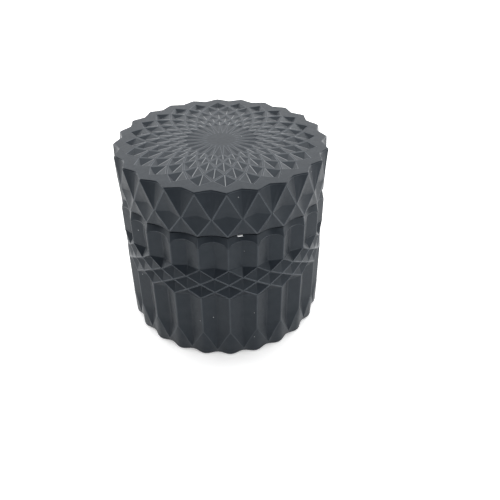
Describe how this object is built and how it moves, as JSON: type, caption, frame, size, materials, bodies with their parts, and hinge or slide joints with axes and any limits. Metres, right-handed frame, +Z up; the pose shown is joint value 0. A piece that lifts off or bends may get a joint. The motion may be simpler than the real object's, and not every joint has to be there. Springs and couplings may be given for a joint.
{
  "type": "glass grinder",
  "caption": "Hand-turned grinder in a fluted black glass jar: matching glass lid with hanging teeth, lift-out toothed tray with drop holes, storage chamber below.",
  "frame": {"origin": "middle of the jar's foot, on the surface that it stands on", "axes": "+Z up along the axis that the lid turns about; -Y through the ridge at the front of the jar"},
  "size_m": [0.08, 0.08, 0.0736],
  "materials": {
    "black_glass": "matte black coated pressed glass, opaque",
    "aluminium": "machined and tumbled, satin",
    "magnet": "nickel plated, slightly satin",
    "epoxy": "cured adhesive, slightly glossy",
    "slip_plastic": "natural low-friction plastic, waxy",
    "silicone": "milky white silicone, satin"
  },
  "bodies": {
    "jar": {"jar": "black_glass"},
    "tray": {"grind_tray": "aluminium", "tray_magnet": "magnet", "tray_seal": "silicone"},
    "ring": {"slip_ring": "slip_plastic"},
    "lid": {"lid_shell": "black_glass", "lid_adhesive": "epoxy", "lid_tooth_plate": "aluminium", "lid_magnet": "magnet"}
  },
  "joints": [
    {"name": "tray_lift", "type": "slide", "parent": "jar", "child": "tray", "axis": [0, 0, 1], "range_m": [0, 0.05]},
    {"name": "lid_turn", "type": "hinge", "parent": "tray", "child": "ring", "pos_m": [0, 0, 0.0624], "axis": [0, 0, 1], "continuous": true},
    {"name": "lid_lift", "type": "slide", "parent": "ring", "child": "lid", "axis": [0, 0, 1], "range_m": [0, 0.05]}
  ]
}
